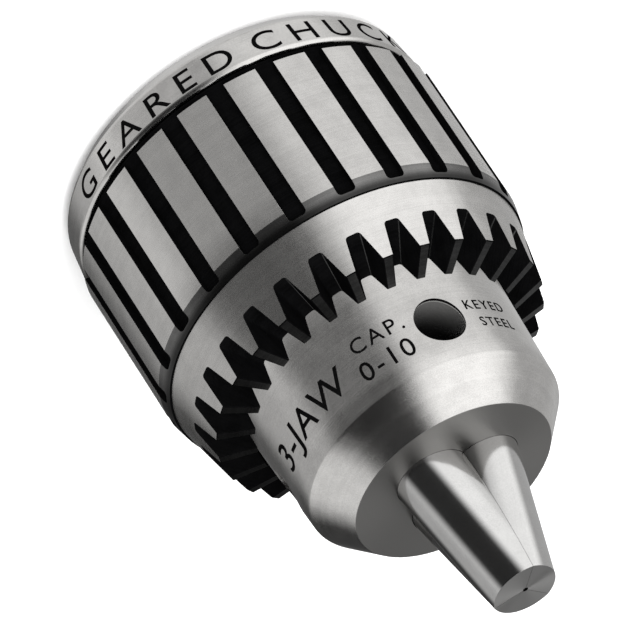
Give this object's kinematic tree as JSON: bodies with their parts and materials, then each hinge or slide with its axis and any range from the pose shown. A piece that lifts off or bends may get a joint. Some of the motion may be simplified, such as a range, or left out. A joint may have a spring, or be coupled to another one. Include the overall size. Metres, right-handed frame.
{
  "type": "drill chuck",
  "caption": "Keyed three-jaw drill chuck with fluted sleeve, bevel gear ring, thrust ball bearing and a short taper socket at the back.",
  "frame": {"origin": "centre of the back face, on the chuck's axis", "axes": "+Z along the chuck's axis towards the nose and the jaws' tips; jaw 1 lies on the +X side"},
  "size_m": [0.05, 0.05, 0.0762],
  "materials": {
    "body_steel": "ground, satin",
    "sleeve_steel": "ground lands and cone, black oxide in the flutes and tooth spaces",
    "jaw_steel": "hardened and ground bright",
    "nut_steel": "turned, oiled",
    "race_steel": "hardened and ground",
    "ball_steel": "polished",
    "cage_brass": "stamped, satin"
  },
  "bodies": {
    "body": {"body": "body_steel", "rear_race": "race_steel"},
    "sleeve": {"sleeve": "sleeve_steel", "nut_half_1": "nut_steel", "nut_half_2": "nut_steel", "front_race": "race_steel"},
    "jaw_1": {"jaw_1": "jaw_steel"},
    "jaw_2": {"jaw_2": "jaw_steel"},
    "jaw_3": {"jaw_3": "jaw_steel"},
    "ball_cage": {"ball_cage": "cage_brass", "bearing_ball_01": "ball_steel", "bearing_ball_02": "ball_steel", "bearing_ball_03": "ball_steel", "bearing_ball_04": "ball_steel", "bearing_ball_05": "ball_steel", "bearing_ball_06": "ball_steel", "bearing_ball_07": "ball_steel", "bearing_ball_08": "ball_steel", "bearing_ball_09": "ball_steel", "bearing_ball_10": "ball_steel", "bearing_ball_11": "ball_steel", "bearing_ball_12": "ball_steel", "bearing_ball_13": "ball_steel", "bearing_ball_14": "ball_steel", "bearing_ball_15": "ball_steel", "bearing_ball_16": "ball_steel", "bearing_ball_17": "ball_steel", "bearing_ball_18": "ball_steel", "bearing_ball_19": "ball_steel", "bearing_ball_20": "ball_steel", "bearing_ball_21": "ball_steel", "bearing_ball_22": "ball_steel", "bearing_ball_23": "ball_steel", "bearing_ball_24": "ball_steel", "bearing_ball_25": "ball_steel", "bearing_ball_26": "ball_steel", "bearing_ball_27": "ball_steel", "bearing_ball_28": "ball_steel", "bearing_ball_29": "ball_steel", "bearing_ball_30": "ball_steel"}
  },
  "joints": [
    {"name": "sleeve_turn", "type": "hinge", "parent": "body", "child": "sleeve", "pos_m": [0, 0, 0.03], "axis": [0, 0, 1], "range_deg": [0, 3312]},
    {"name": "jaw_1_slide", "type": "slide", "parent": "body", "child": "jaw_1", "axis": [-0.2588, 0, 0.9659], "range_m": [-0.01841, 0]},
    {"name": "jaw_2_slide", "type": "slide", "parent": "body", "child": "jaw_2", "axis": [0.1294, -0.2241, 0.9659], "range_m": [-0.01841, 0]},
    {"name": "jaw_3_slide", "type": "slide", "parent": "body", "child": "jaw_3", "axis": [0.1294, 0.2241, 0.9659], "range_m": [-0.01841, 0]},
    {"name": "cage_roll", "type": "hinge", "parent": "body", "child": "ball_cage", "pos_m": [0, 0, 0.0191], "axis": [0, 0, 1], "range_deg": [0, 1657]}
  ],
  "couplings": [
    {"joint": "jaw_1_slide", "follows": "sleeve_turn", "m_per_rad": -0.00031831},
    {"joint": "jaw_2_slide", "follows": "sleeve_turn", "m_per_rad": -0.00031831},
    {"joint": "jaw_3_slide", "follows": "sleeve_turn", "m_per_rad": -0.00031831},
    {"joint": "cage_roll", "follows": "sleeve_turn", "ratio": 0.5}
  ]
}
